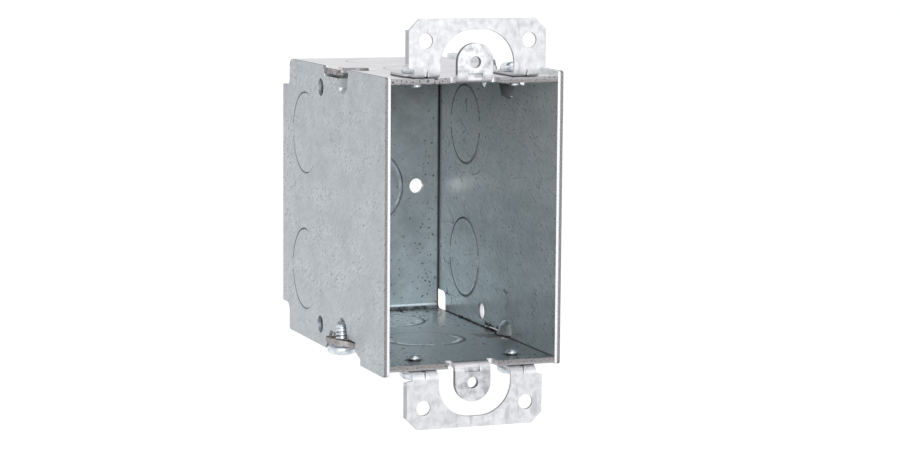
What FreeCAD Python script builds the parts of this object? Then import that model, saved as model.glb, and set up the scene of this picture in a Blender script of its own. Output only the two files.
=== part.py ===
import FreeCAD, Part
import math
import os

# Gangable sheet steel switch box, millimetres.
# X is to the right, Y goes into the box and Z is up. The opening faces -Y.
# The origin is midway between the two device screw holes, on the front plane.

# Folded body
sheet = 1.5
body_width = 46.0
body_height = 75.4
box_depth = 88.9
bend_inner = 1.5
back_half_width = 22.5
back_shift = 0.5
back_step = 0.6
device_spacing = 83.34
device_hole_radius = 1.5
tab_radius = 4.9
tab_bend_inner = 1.0
relief_width = 2.0
relief_depth = 3.6
relief_corner = 1.0
tab_lance_width = 3.9
tab_lance_height = 1.8
tab_lance_drop = 1.1
tab_lance_depth = 0.8

# Knock-outs
knockout_radius = 11.1
knockout_gap = 0.2
knockout_tie = 3.4
wall_knockout_front = 37.3
wall_knockout_pitch = 31.8
plate_knockout_inset = 18.65
plate_knockout_y = 66.7

# Back wall mounting holes
back_hole_spacing = 31.0
back_hole_radius = 2.15

# Side plates
plate_setback = 1.3
plate_holes_drop = 0.65
hook_overhang = 0.4
screw_overhang = 1.35
nail_hole_inset = 5.05
nail_hole_radius = 2.4
nail_hole_y = 53.0
corner_notch_depth = 6.2
corner_notch_height = 7.5
hook_notch_width = 20.0
hook_notch_depth = 2.7
screw_notch_width = 29.2
screw_notch_depth = 5.5
screw_notch_ahead = 15.3
screw_notch_slope = 4.1
screw_notch_step = 3.0
screw_notch_lip = 1.65
plate_corner = 0.8
plate_back_corner = 2.2

# Ganging lug, its screw and the hook slot
gang_from_front = 34.2
lug_radius = 4.3
lug_root_fillet = 2.5
lug_rise = 1.1
pocket_width = 18.0
pocket_reach = 5.5
slot_width = 6.0
slot_reach = 5.9
raise_height = 0.5
raise_width = 8.0
raise_reach = 8.0
raise_slope = 0.4
hook_tab_corner = 1.2
hook_tab_clearance = 0.3
scoop_centre_out = 2.0
scoop_clearance = 0.25
scoop_flare = 0.26
scoop_end = 1.7
scoop_wall = 1.1
hook_scoop_length = 2.4

# Machine screws
screw_radius = 1.72
thread_clearance = 0.03
head_radius = 3.9
head_height = 2.45
head_rim = 1.4
head_flat_radius = 2.2
head_slot_width = 1.0
head_slot_depth = 0.9
gang_screw_length = 5.7
ear_screw_length = 3.9

# Plaster ears
ear_sheet = 0.9
ear_width = 37.5
ear_top = 52.9
ear_chamfer = 2.85
ear_stand = 1.5
ear_lift = 0.1
ear_bend_outer = 2.2
ear_hole_spacing = 28.4
ear_hole_height = 47.3
ear_hole_radius = 2.0
arch_half_width = 10.1
arch_corner = 8.8
arch_crown = 50.15
leg_outer = 17.2
shoulder_height = 2.5
foot_outer = 18.3
foot_notch_depth = 4.2
side_flange_depth = 2.7
foot_length = 17.0
foot_corner = 2.2
travel_forward = 4.0
travel_back = 1.5
slot_end_clearance = 0.1
slot_side_clearance = 0.2
dart_width = 1.3
dart_leg = 0.7
dart_hollow = 1.2
ear_screw_from_front = 7.0

half_width = body_width / 2
plate_depth = box_depth - plate_setback
wall_outer = body_height / 2
nail_hole_reach = wall_outer - nail_hole_inset
plate_knockout_reach = wall_outer - plate_knockout_inset
wall_inner = wall_outer - sheet
plate_face = half_width + sheet
plate_hook_edge = wall_outer + hook_overhang
plate_screw_edge = wall_outer + screw_overhang
tap_radius = screw_radius + thread_clearance
screw_offset = (leg_outer + arch_half_width) / 2
foot_under = wall_outer + ear_lift
foot_over = foot_under + ear_sheet
overshoot = 2.0
x_axis = FreeCAD.Vector(1, 0, 0)
y_axis = FreeCAD.Vector(0, 1, 0)
z_axis = FreeCAD.Vector(0, 0, 1)
origin = FreeCAD.Vector(0, 0, 0)


def vec(x, y, z):
    return FreeCAD.Vector(x, y, z)


def block(x0, x1, y0, y1, z0, z1):
    """Box between two corners."""
    return Part.makeBox(x1 - x0, y1 - y0, z1 - z0, vec(x0, y0, z0))


def cylinder_z(x, y, z0, z1, radius):
    """Upright cylinder."""
    return Part.makeCylinder(radius, z1 - z0, vec(x, y, z0), z_axis)


def cylinder_y(x, z, y0, y1, radius):
    """Cylinder along the depth."""
    return Part.makeCylinder(radius, y1 - y0, vec(x, y0, z), y_axis)


def cylinder_x(y, z, x0, x1, radius):
    """Cylinder across the box."""
    return Part.makeCylinder(radius, x1 - x0, vec(x0, y, z), x_axis)


def half_turn(shape):
    """The same shape turned 180 degrees about the depth axis."""
    turned = shape.copy()
    turned.rotate(origin, y_axis, 180)
    return turned


def rounded_outline(corners, to_space):
    """Closed face through (a, b, corner radius) points; to_space places a and b."""
    edges = []
    ends = []
    count = len(corners)
    for i in range(count):
        a, b, radius = corners[i]
        here = vec(a, b, 0)
        before = vec(corners[i - 1][0], corners[i - 1][1], 0)
        after = vec(corners[(i + 1) % count][0], corners[(i + 1) % count][1], 0)
        back = (before - here).normalize()
        on = (after - here).normalize()
        half_angle = back.getAngle(on) / 2
        if radius == 0:
            ends.append((here, here, None))
            continue
        reach = radius / math.tan(half_angle)
        inward = (back + on).normalize()
        centre = here + inward * (radius / math.sin(half_angle))
        middle = centre - inward * radius
        ends.append((here + back * reach, here + on * reach, middle))
    for i in range(count):
        start, finish, middle = ends[i]
        if middle is not None:
            arc = Part.Arc(to_space(start), to_space(middle), to_space(finish))
            edges.append(arc.toShape())
        following = ends[(i + 1) % count][0]
        if finish.distanceToPoint(following) > 1e-6:
            edges.append(Part.makeLine(to_space(finish), to_space(following)))
    return Part.Face(Part.Wire(edges))


def frustum(x0, x1, y0, y1, z0, z1, slope_x1, slope_y):
    """Pressed pad: its top at z1 is drawn in at x1 and at both y ends."""
    low = Part.makePolygon([vec(x0, y0, z0), vec(x1, y0, z0), vec(x1, y1, z0),
                            vec(x0, y1, z0), vec(x0, y0, z0)])
    high = Part.makePolygon([vec(x0, y0 + slope_y, z1), vec(x1 - slope_x1, y0 + slope_y, z1),
                             vec(x1 - slope_x1, y1 - slope_y, z1), vec(x0, y1 - slope_y, z1),
                             vec(x0, y0 + slope_y, z1)])
    return Part.makeLoft([low, high], True, True)


def knockout_seam(centre, normal, tie_direction):
    """Sheared seam round a knock-out; a tie on one side holds the slug."""
    base = centre - normal * overshoot
    height = sheet + 2 * overshoot
    ring = Part.makeCylinder(knockout_radius + knockout_gap, height, base, normal)
    ring = ring.cut(Part.makeCylinder(knockout_radius, height, base, normal))
    across = normal.cross(tie_direction)
    reach = knockout_radius + overshoot
    corner = base - across * (knockout_tie / 2)
    tie = Part.makePolygon([corner, corner + across * knockout_tie,
                            corner + across * knockout_tie + tie_direction * reach,
                            corner + tie_direction * reach, corner])
    return ring.cut(Part.Face(tie).extrude(normal * height))


def folded_channel():
    """Top, back and bottom walls bent from one strip."""
    outer = bend_inner + sheet
    inside_back = box_depth - sheet

    def place(point):
        return vec(-half_width, point.x, point.y)

    corners = [
        (0, wall_outer, 0),
        (box_depth, wall_outer, outer),
        (box_depth, -wall_outer, outer),
        (0, -wall_outer, 0),
        (0, -wall_inner, 0),
        (inside_back, -wall_inner, bend_inner),
        (inside_back, wall_inner, bend_inner),
        (0, wall_inner, 0),
    ]
    strip = rounded_outline(corners, place).extrude(x_axis * body_width)
    narrow_from = plate_depth - corner_notch_depth + back_step
    for side in (-1, 1):
        edge = back_shift + side * back_half_width
        outside = side * (half_width + overshoot)
        strip = strip.cut(block(min(edge, outside), max(edge, outside), narrow_from,
                                box_depth + overshoot, -wall_outer - overshoot,
                                wall_outer + overshoot))
    return strip


def tab_relief():
    """Rounded cut in the top wall's front edge that frees the device tab."""
    half = tab_radius + relief_width

    def place(point):
        return vec(point.x, point.y, wall_inner - overshoot)

    corners = [
        (-half, -overshoot, 0),
        (half, -overshoot, 0),
        (half, relief_depth, relief_corner),
        (-half, relief_depth, relief_corner),
    ]
    return rounded_outline(corners, place).extrude(z_axis * (sheet + 2 * overshoot))


def device_tab():
    """Upper device tab, bent up from the wall, with its hole and the short strip pressed back at its foot."""
    outer = tab_bend_inner + sheet
    tip = device_spacing / 2 + tab_radius

    def place(point):
        return vec(-tab_radius, point.x, point.y)

    corners = [
        (relief_depth + sheet, wall_inner, 0),
        (0, wall_inner, outer),
        (0, tip, 0),
        (sheet, tip, 0),
        (sheet, wall_outer, tab_bend_inner),
        (relief_depth + sheet, wall_outer, 0),
    ]
    strip = rounded_outline(corners, place).extrude(x_axis * (2 * tab_radius))
    shaft = block(-tab_radius, tab_radius, -overshoot, relief_depth + 2 * sheet,
                  wall_inner - overshoot, device_spacing / 2)
    round_end = cylinder_y(0, device_spacing / 2, -overshoot, relief_depth + 2 * sheet, tab_radius)
    tab = strip.common(shaft.fuse(round_end))
    hole = cylinder_y(0, device_spacing / 2, -overshoot, sheet + overshoot, device_hole_radius)
    left = -tab_lance_width / 2
    right = tab_lance_width / 2
    top = wall_outer + tab_lance_drop
    low = top - tab_lance_height
    pressed = block(left, right, tab_lance_depth, sheet + tab_lance_depth, low, top)
    hollow = block(left, right, -overshoot, tab_lance_depth, low, top)
    return tab.fuse(pressed).cut([hollow, hole])


def lug_pocket_pad():
    """Inner face of the pocket that sets the lug one sheet inside the bottom wall."""
    half = pocket_width / 2 + sheet
    return frustum(-half_width, -half_width + pocket_reach + sheet,
                   gang_from_front - half, gang_from_front + half,
                   -wall_inner, -wall_inner + sheet, sheet / 2, sheet / 2)


def lug_pocket_cut():
    """Outer hollow of the same pocket."""
    half = pocket_width / 2 + sheet / 2
    return frustum(-half_width - overshoot, -half_width + pocket_reach + sheet / 2,
                   gang_from_front - half, gang_from_front + half,
                   -wall_outer, -wall_inner, sheet / 2, sheet / 2)


def gang_lug():
    """Rounded tongue beside the bottom wall, bent up a little, for the gang screw."""
    low = -wall_inner
    tip = -plate_face - lug_radius
    top = low + sheet + lug_rise + overshoot
    end = cylinder_z(-plate_face, gang_from_front, low, top, lug_radius)
    neck = block(-plate_face, -half_width + pocket_reach / 2, gang_from_front - lug_radius,
                 gang_from_front + lug_radius, low, top)
    root = lug_radius + lug_root_fillet
    flare = block(-half_width - lug_root_fillet, -half_width, gang_from_front - root,
                  gang_from_front + root, low, top)
    for side in (-1, 1):
        flare = flare.cut(cylinder_z(-half_width - lug_root_fillet, gang_from_front + side * root,
                                     low - overshoot, top + overshoot, lug_root_fillet))
    plan = end.fuse([neck, flare])

    def place(point):
        return vec(point.x, gang_from_front - root, point.y)

    profile = [
        (-half_width + pocket_reach, low, 0),
        (-half_width, low, 0),
        (tip, low + lug_rise, 0),
        (tip, low + lug_rise + sheet, 0),
        (-half_width, low + sheet, 0),
        (-half_width + pocket_reach, low + sheet, 0),
    ]
    strip = rounded_outline(profile, place).extrude(y_axis * (2 * root))
    return strip.common(plan)


def gang_screw_hole():
    """Tapped hole through the lug."""
    return cylinder_z(-plate_face, gang_from_front, -wall_outer, -wall_inner + lug_rise + 2 * sheet,
                      tap_radius)


def hook_raise():
    """Outer face of the pressed area behind the middle of the hook slot in the top wall."""
    return frustum(-half_width, -half_width + raise_reach,
                   gang_from_front, gang_from_front + raise_width,
                   wall_outer, wall_outer + raise_height, raise_slope, raise_slope)


def hook_raise_cut():
    """Inner hollow of the same pressed area."""
    inset = raise_slope
    return frustum(-half_width - overshoot, -half_width + raise_reach - inset,
                   gang_from_front + inset, gang_from_front + raise_width - inset,
                   wall_inner, wall_inner + raise_height, raise_slope, raise_slope)


def hook_slot():
    """Slot, open at the wall's side edge, for a neighbouring box's gang screw."""
    radius = slot_width / 2
    end = -half_width + slot_reach - radius
    low = wall_inner - overshoot
    high = wall_outer + raise_height + overshoot
    straight = block(-half_width - overshoot, end, gang_from_front - radius,
                     gang_from_front + radius, low, high)
    return straight.fuse(cylinder_z(end, gang_from_front, low, high, radius))


def hook_tab():
    """Tab of the top wall that stands in the side plate's notch behind the slot."""
    front = gang_from_front + slot_width / 2
    back = hook_notch_front() + hook_notch_width - 3 * hook_tab_clearance

    def place(point):
        return vec(point.x, point.y, wall_inner)

    corners = [
        (-half_width, front, 0),
        (-plate_face, front, hook_tab_corner),
        (-plate_face, back, 0),
        (-half_width, back, 0),
    ]
    return rounded_outline(corners, place).extrude(z_axis * sheet)


def ear_screw_holes():
    """Tapped holes in the top wall for the ear screws."""
    holes = []
    for side in (-1, 1):
        holes.append(cylinder_z(side * screw_offset, ear_screw_from_front,
                                wall_inner - overshoot,
                                wall_outer + overshoot, tap_radius))
    return holes


def box_body():
    """The folded body with its tabs, lugs, hook slots and knock-outs."""
    body = folded_channel()
    relief = tab_relief()
    body = body.cut([relief, half_turn(relief)])
    body = body.cut([lug_pocket_cut(), half_turn(lug_pocket_cut()),
                     hook_raise_cut(), half_turn(hook_raise_cut())])
    added = [device_tab(), lug_pocket_pad(), gang_lug(), hook_raise(), hook_tab()]
    body = body.fuse(added + [half_turn(piece) for piece in added])
    removed = [hook_slot(), gang_screw_hole()] + ear_screw_holes()
    paired = len(removed) + 2
    for y in (wall_knockout_front, wall_knockout_front + wall_knockout_pitch):
        tie = -y_axis if y == wall_knockout_front else y_axis
        removed.append(knockout_seam(vec(0, y, wall_inner), z_axis, tie))
    turned = [half_turn(piece) for piece in removed[:paired]]
    for side in (-1, 1):
        removed.append(cylinder_y(back_shift + side * back_hole_spacing / 2, 0,
                                  box_depth - sheet - overshoot, box_depth + overshoot,
                                  back_hole_radius))
    removed.append(knockout_seam(vec(back_shift, box_depth - sheet, 0), y_axis, z_axis))
    body = body.cut(removed + turned)
    return body.removeSplitter()


def hook_notch_front():
    """Depth at which the side plate's hook notch starts."""
    return gang_from_front - slot_width / 2 - 2 * hook_tab_clearance


def plate_outline():
    """Side plate's outline, seen from the side, with the hook end up."""
    top = plate_hook_edge
    low = -plate_screw_edge
    hook_front = hook_notch_front()
    hook_back = hook_front + hook_notch_width
    lead = hook_notch_depth / 3
    screw_front = gang_from_front - screw_notch_ahead
    screw_back = screw_front + screw_notch_width
    roof = low + screw_notch_depth
    back = plate_depth
    step = plate_depth - corner_notch_depth

    def place(point):
        return vec(-plate_face, point.x, point.y)

    corners = [
        (0, low, plate_corner),
        (0, top, plate_corner),
        (hook_front, top, 0),
        (hook_front, top - hook_notch_depth, 0),
        (hook_back - lead, top - hook_notch_depth, 0),
        (hook_back, top, plate_corner),
        (step, top, plate_back_corner),
        (step, top - corner_notch_height, plate_back_corner),
        (back, top - corner_notch_height, 0),
        (back, low + corner_notch_height, 0),
        (step, low + corner_notch_height, plate_back_corner),
        (step, low, plate_corner),
        (screw_back, low, 0),
        (screw_back - screw_notch_slope, roof, plate_corner),
        (screw_front + screw_notch_slope, roof, 0),
        (screw_front + screw_notch_slope, low + screw_notch_step, 0),
        (screw_front, low + screw_notch_lip, 0),
        (screw_front, low, 0),
    ]
    return rounded_outline(corners, place).extrude(x_axis * sheet)


def scoop(mouth, knee, way, extra):
    """Half-cone with a blunt end, round the gang screw; extra gives its outer skin."""
    x = -plate_face - scoop_centre_out
    knee_radius = scoop_centre_out + screw_radius + scoop_clearance + extra
    start = mouth - way * overshoot
    run = (knee - start) * way
    base = vec(x, gang_from_front, start)
    taper = Part.makeCone(knee_radius + run * scoop_flare, knee_radius, run, base, z_axis * way)
    blunt = Part.makeCone(knee_radius, scoop_centre_out, scoop_end + extra / 2,
                          vec(x, gang_from_front, knee), z_axis * way)
    return taper.fuse(blunt)


def side_plate():
    """Left side plate, hook end up; the right one is the same plate turned over."""
    plate = plate_outline()
    hollows = []
    inside = block(-plate_face + sheet / 2, 0, 0, box_depth, -plate_screw_edge + screw_notch_depth,
                   plate_hook_edge - hook_notch_depth)
    screw_mouth = -plate_screw_edge + screw_notch_depth
    screw_knee = -wall_inner + gang_screw_length + scoop_clearance
    hook_mouth = plate_hook_edge - hook_notch_depth
    for mouth, knee, way in ((screw_mouth, screw_knee, 1),
                             (hook_mouth, hook_mouth - hook_scoop_length, -1)):
        plate = plate.fuse(scoop(mouth, knee, way, scoop_wall).common(inside))
        hollows.append(scoop(mouth, knee, way, 0))
    plate = plate.cut(hollows)
    removed = []
    for side in (-1, 1):
        removed.append(cylinder_x(nail_hole_y,
                                  side * nail_hole_reach - plate_holes_drop,
                                  -plate_face - overshoot, -half_width + overshoot,
                                  nail_hole_radius))
        centre = vec(-plate_face, plate_knockout_y,
                     side * plate_knockout_reach - plate_holes_drop)
        removed.append(knockout_seam(centre, x_axis, y_axis))
    return plate.cut(removed).removeSplitter()


def pan_screw(length):
    """Pan head screw, head up, with the underside of its head at the origin."""

    def place(point):
        return vec(point.x, 0, point.y)

    profile = [
        (0, -length, 0),
        (screw_radius, -length, 0),
        (screw_radius, 0, 0),
        (head_radius, 0, 0),
        (head_radius, head_rim, 0),
        (head_flat_radius, head_height, 0),
        (0, head_height, 0),
    ]
    turned = rounded_outline(profile, place).revolve(origin, z_axis, 360)
    slot = block(-head_slot_width / 2, head_slot_width / 2, -head_radius - overshoot,
                 head_radius + overshoot, head_height - head_slot_depth, head_height + overshoot)
    return turned.cut(slot)


def screw_at(x, y, z, length, slot_angle, upside_down=False):
    """A screw seated at a point, its slot turned to an angle."""
    screw = pan_screw(length)
    screw.rotate(origin, z_axis, slot_angle)
    if upside_down:
        screw.rotate(origin, x_axis, 180)
    screw.translate(vec(x, y, z))
    return screw


def ear_plate_outline():
    """Front plate of the upper ear, down to its legs' shoulders."""
    half = ear_width / 2
    shoulder = foot_under + shoulder_height
    low = foot_under + ear_bend_outer

    def place(point):
        return vec(point.x, -ear_stand, point.y)

    corners = [
        (-half, shoulder, 0),
        (-half, ear_top - ear_chamfer, 0),
        (-half + ear_chamfer, ear_top, 0),
        (half - ear_chamfer, ear_top, 0),
        (half, ear_top - ear_chamfer, 0),
        (half, shoulder, 0),
        (leg_outer, low, 0),
        (-leg_outer, low, 0),
    ]
    plate = rounded_outline(corners, place).extrude(y_axis * ear_sheet)
    opening = [
        (-arch_half_width, low - overshoot, 0),
        (-arch_half_width, arch_crown, arch_corner),
        (arch_half_width, arch_crown, arch_corner),
        (arch_half_width, low - overshoot, 0),
    ]
    arch = rounded_outline(opening, place).extrude(y_axis * ear_sheet)
    return plate.cut(arch)


def ear_foot(side):
    """Bend and slotted foot of one leg, lying on the wall."""
    inner = arch_half_width
    back = -ear_stand + foot_length
    inner_radius = ear_bend_outer - ear_sheet
    top = foot_under + ear_bend_outer

    def place(point):
        return vec(inner, point.x, point.y)

    corners = [
        (-ear_stand, top + shoulder_height / 4, 0),
        (-ear_stand, foot_under, ear_bend_outer),
        (back, foot_under, 0),
        (back, foot_over, 0),
        (-ear_stand + ear_sheet, foot_over, inner_radius),
        (-ear_stand + ear_sheet, top + shoulder_height / 4, 0),
    ]
    foot = rounded_outline(corners, place).extrude(x_axis * (foot_outer - inner))
    notch_back = -ear_stand + foot_notch_depth

    def place_plan(point):
        return vec(point.x, point.y, foot_under - overshoot)

    plan = [
        (inner, -ear_stand - overshoot, 0),
        (leg_outer, -ear_stand - overshoot, 0),
        (leg_outer, notch_back, 0),
        (foot_outer, notch_back + foot_outer - leg_outer, 0),
        (foot_outer, back, foot_corner),
        (inner, back, foot_corner),
    ]
    foot = foot.common(rounded_outline(plan, place_plan).extrude(z_axis * ear_top))
    radius = screw_radius + slot_side_clearance
    first = ear_screw_from_front - travel_back - slot_end_clearance
    last = ear_screw_from_front + travel_forward + slot_end_clearance
    slot = block(screw_offset - radius, screw_offset + radius, first, last,
                 foot_under - overshoot, foot_over + overshoot)
    for y in (first, last):
        slot = slot.fuse(cylinder_z(screw_offset, y, foot_under - overshoot,
                                    foot_over + overshoot, radius))
    foot = foot.cut(slot)
    if side < 0:
        foot = foot.mirror(origin, x_axis)
    return foot


def side_flange(side):
    """Stiffening flange bent back from one outer edge of the ear."""
    outer = ear_width / 2
    low = foot_under + shoulder_height + ear_sheet / 2
    high = ear_top - ear_chamfer
    flange = block(outer - ear_sheet, outer, -ear_stand, -ear_stand + side_flange_depth, low, high)
    if side < 0:
        flange = flange.mirror(origin, x_axis)
    return flange


def bend_dart(x):
    """Triangular stiffening dart struck in across the bend of a leg."""
    inside = -ear_stand + ear_sheet
    embed = ear_sheet / 2

    def place(point):
        return vec(x - dart_width / 2, point.x, point.y)

    leg = dart_leg + ear_bend_outer - ear_sheet
    corners = [
        (inside - embed, foot_over - embed, 0),
        (inside + leg, foot_over - embed, 0),
        (inside + leg, foot_over, 0),
        (inside, foot_over + leg, 0),
        (inside - embed, foot_over + leg, 0),
    ]
    return rounded_outline(corners, place).extrude(x_axis * dart_width)


def dart_groove(x):
    """Hollow on the outer side of the same dart."""
    front = -ear_stand
    reach = front + 2 * dart_hollow
    tip = vec(x, front + dart_hollow * 2 / 3, foot_under + dart_hollow * 2 / 3)
    left = vec(x - dart_width / 2, reach, foot_under - overshoot / 4)
    right = vec(x + dart_width / 2, reach, foot_under - overshoot / 4)
    up = vec(x, front - overshoot / 8, foot_under + 2 * dart_hollow)
    out = vec(x, front - overshoot, foot_under - overshoot)
    faces = []
    for three in ((tip, left, right), (tip, right, up), (tip, up, left),
                  (out, right, left), (out, up, right), (out, left, up)):
        faces.append(Part.Face(Part.makePolygon(list(three) + [three[0]])))
    return Part.Solid(Part.Shell(faces))


def plaster_ear():
    """Upper plaster ear; the lower one is the same part turned over."""
    ear = ear_plate_outline()
    pieces = []
    for side in (-1, 1):
        pieces.append(ear_foot(side))
        pieces.append(side_flange(side))
        pieces.append(bend_dart(side * screw_offset))
    ear = ear.fuse(pieces)
    removed = []
    for side in (-1, 1):
        removed.append(cylinder_y(side * ear_hole_spacing / 2, ear_hole_height,
                                  -ear_stand - overshoot, overshoot, ear_hole_radius))
        removed.append(dart_groove(side * screw_offset))
    return ear.cut(removed).removeSplitter()


def build_parts():
    """Every piece by name, in its place."""
    parts = {}
    parts["box_body"] = box_body()
    left = side_plate()
    parts["left_side_plate"] = left
    parts["right_side_plate"] = half_turn(left)
    parts["left_gang_screw"] = screw_at(-plate_face, gang_from_front, -wall_inner,
                                        gang_screw_length, 105, True)
    parts["right_gang_screw"] = screw_at(plate_face, gang_from_front, wall_inner,
                                         gang_screw_length, 60)
    ear = plaster_ear()
    parts["upper_plaster_ear"] = ear
    parts["lower_plaster_ear"] = half_turn(ear)
    for name, side, angle in (("left", -1, 40), ("right", 1, -55)):
        parts["upper_" + name + "_ear_screw"] = screw_at(
            side * screw_offset, ear_screw_from_front, foot_over, ear_screw_length, angle)
        parts["lower_" + name + "_ear_screw"] = screw_at(
            side * screw_offset, ear_screw_from_front, -foot_over, ear_screw_length,
            angle + 30, True)
    return parts


os.makedirs("parts", exist_ok=True)
for name, shape in build_parts().items():
    solids = shape.Solids
    print(name, "solids", len(solids), "valid", shape.isValid(), "volume", round(shape.Volume, 1))
    shape.exportStep("parts/" + name + ".step")
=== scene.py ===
# Gangable switch box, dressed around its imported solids. Metres: X right, Y into the box, Z up.
import math
import random

import bpy
import bmesh
from mathutils import Matrix, Vector


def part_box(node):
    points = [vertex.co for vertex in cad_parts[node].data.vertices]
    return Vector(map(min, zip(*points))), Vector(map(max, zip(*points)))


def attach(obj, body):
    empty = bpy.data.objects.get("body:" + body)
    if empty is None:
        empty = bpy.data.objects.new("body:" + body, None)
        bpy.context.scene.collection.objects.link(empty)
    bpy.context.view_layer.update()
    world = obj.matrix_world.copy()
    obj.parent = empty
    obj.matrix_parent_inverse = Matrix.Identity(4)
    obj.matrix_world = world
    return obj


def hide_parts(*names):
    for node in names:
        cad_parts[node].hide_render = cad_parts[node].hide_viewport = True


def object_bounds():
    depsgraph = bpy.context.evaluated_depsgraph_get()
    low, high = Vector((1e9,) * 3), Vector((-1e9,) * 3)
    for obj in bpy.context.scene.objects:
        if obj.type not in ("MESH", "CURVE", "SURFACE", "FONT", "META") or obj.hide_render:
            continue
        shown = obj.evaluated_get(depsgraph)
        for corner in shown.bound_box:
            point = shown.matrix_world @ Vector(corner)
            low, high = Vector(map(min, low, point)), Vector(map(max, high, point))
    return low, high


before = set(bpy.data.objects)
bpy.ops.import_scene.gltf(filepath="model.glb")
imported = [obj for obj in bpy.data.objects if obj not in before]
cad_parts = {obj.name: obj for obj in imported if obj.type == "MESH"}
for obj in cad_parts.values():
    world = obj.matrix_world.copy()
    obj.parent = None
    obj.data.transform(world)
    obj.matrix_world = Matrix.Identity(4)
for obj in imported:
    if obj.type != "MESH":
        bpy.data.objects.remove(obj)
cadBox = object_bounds()
mm = 0.001
print("frame loaded")


# Shader wiring: a Wire is a socket that Python's operators turn into Math nodes.
class Wire:
    def __init__(self, board, socket):
        self.board = board
        self.socket = socket

    def op(self, operation, *others, clamp=False):
        return self.board.math(operation, self, *others, clamp=clamp)

    def __add__(self, other):
        return self.op("ADD", other)

    def __sub__(self, other):
        return self.op("SUBTRACT", other)

    def __rsub__(self, other):
        return self.board.math("SUBTRACT", other, self)

    def __mul__(self, other):
        return self.op("MULTIPLY", other)

    def __truediv__(self, other):
        return self.op("DIVIDE", other)

    def __rtruediv__(self, other):
        return self.board.math("DIVIDE", other, self)

    def __pow__(self, other):
        return self.op("POWER", other)

    def __gt__(self, other):
        return self.op("GREATER_THAN", other)

    def __lt__(self, other):
        return self.op("LESS_THAN", other)

    def __abs__(self):
        return self.op("ABSOLUTE")

    def __neg__(self):
        return self.op("MULTIPLY", -1.0)

    __radd__ = __add__
    __rmul__ = __mul__

    def held(self):
        return self.op("ADD", 0.0, clamp=True)

    def ramp(self, low, high):  # 0 at low, 1 at high, straight between
        return ((self - low) * (1.0 / (high - low))).held()

    def near(self, middle, reach):  # 1 at middle, falling to 0 at reach from it
        return (1.0 - abs(self - middle) * (1.0 / reach)).held()


class Board:
    def __init__(self, name, tree=None):
        if tree is None:
            self.material = bpy.data.materials.new(name)
            self.material.use_nodes = True
            tree = self.material.node_tree
        self.tree = tree
        self.tree.nodes.clear()

    def node(self, kind, settings=None, sockets=None):
        made = self.tree.nodes.new(kind)
        for key, value in (settings or {}).items():
            setattr(made, key, value)
        for key, value in (sockets or {}).items():
            self.feed(made.inputs[key], value)
        return made

    def feed(self, socket, value):
        if isinstance(value, Wire):
            self.tree.links.new(value.socket, socket)
        else:
            socket.default_value = value

    def out(self, made, name=0):
        return Wire(self, made.outputs[name])

    def math(self, operation, *values, clamp=False):
        made = self.node("ShaderNodeMath", {"operation": operation, "use_clamp": clamp},
                         dict(enumerate(values)))
        return self.out(made)

    def mix(self, share, first, second):  # two colours
        made = self.node("ShaderNodeMix", {"data_type": "RGBA"}, {0: share, 6: first, 7: second})
        return self.out(made, 2)

    def vector(self, operation, first, second):
        made = self.node("ShaderNodeVectorMath", {"operation": operation}, {0: first, 1: second})
        return self.out(made)

    def coordinates(self):
        made = self.node("ShaderNodeTexCoord")
        return self.out(made, "Object"), self.out(made, "Normal")

    def split(self, vector):
        made = self.node("ShaderNodeSeparateXYZ", sockets={0: vector})
        return [self.out(made, i) for i in range(3)]

    def noise(self, place, size, stretch=(1, 1, 1), detail=3.0, rough=0.55):
        scaled = self.vector("MULTIPLY", place, tuple(1.0 / (size * mm * s) for s in stretch))
        made = self.node("ShaderNodeTexNoise", None,
                         {"Vector": scaled, "Scale": 1.0, "Detail": detail, "Roughness": rough})
        return self.out(made, 0)

    def cells(self, place, size, stretch=(1, 1, 1)):  # a random grey for each crystal
        scaled = self.vector("MULTIPLY", place, tuple(1.0 / (size * mm * s) for s in stretch))
        made = self.node("ShaderNodeTexVoronoi", None, {"Vector": scaled, "Scale": 1.0})
        return self.split(self.out(made, "Color"))[0]

    def bump(self, height, distance, strength, onto):
        made = self.node("ShaderNodeBump", None, {
            "Height": height, "Distance": distance, "Strength": strength, "Normal": onto})
        return self.out(made)

    def rounded(self, radius):  # softens sharp edges in the shading
        made = self.node("ShaderNodeBevel", {"samples": 4}, {"Radius": radius * mm})
        return self.out(made)

    def relief(self, height, look):  # a fine pattern on softened edges
        return self.bump(height, look["reliefHeight"] * mm, look["reliefStrength"],
                         self.rounded(look["bevel"]))

    def metal(self, colour, roughness, normal, metallic):
        made = self.node("ShaderNodeBsdfPrincipled", None, {
            "Base Color": colour, "Roughness": roughness, "Normal": normal, "Metallic": metallic})
        self.end("ShaderNodeOutputMaterial", made)
        return self.material

    def blend(self, share, first, second):  # two shaders
        return self.node("ShaderNodeMixShader", None,
                         {0: share, 1: self.out(first), 2: self.out(second)})

    def end(self, kind, shader):
        self.node(kind, None, {0: self.out(shader)})


def rgb(red, green, blue):
    return (red, green, blue, 1.0)


# Sizes shared by the finishes, in millimetres, as in the part's source
box = {
    "halfWidth": 23.0,
    "sheet": 1.5,
    "wallInner": 36.2,
    "wallOuter": 37.7,
    "depth": 88.9,
    "backShift": 0.5,
    "knockoutRadius": 11.2,
    "knockoutTie": 1.7,
    "wallKnockouts": (37.3, 69.1),
    "plateKnockoutDepth": 66.7,
    "plateKnockoutHeights": (18.4, -19.7),
    "nailHoles": (50.0, 56.0),
    "slotDepths": (30.5, 38.5),
    "slotReach": 16.0,
    "cornerStep": 80.8,
    "notchRoof": 33.2,
    "legs": (10.0, 17.3),
    "earScrew": (13.65, 7.0),
    "lugRise": (5.8, 1.1),
}

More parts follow.
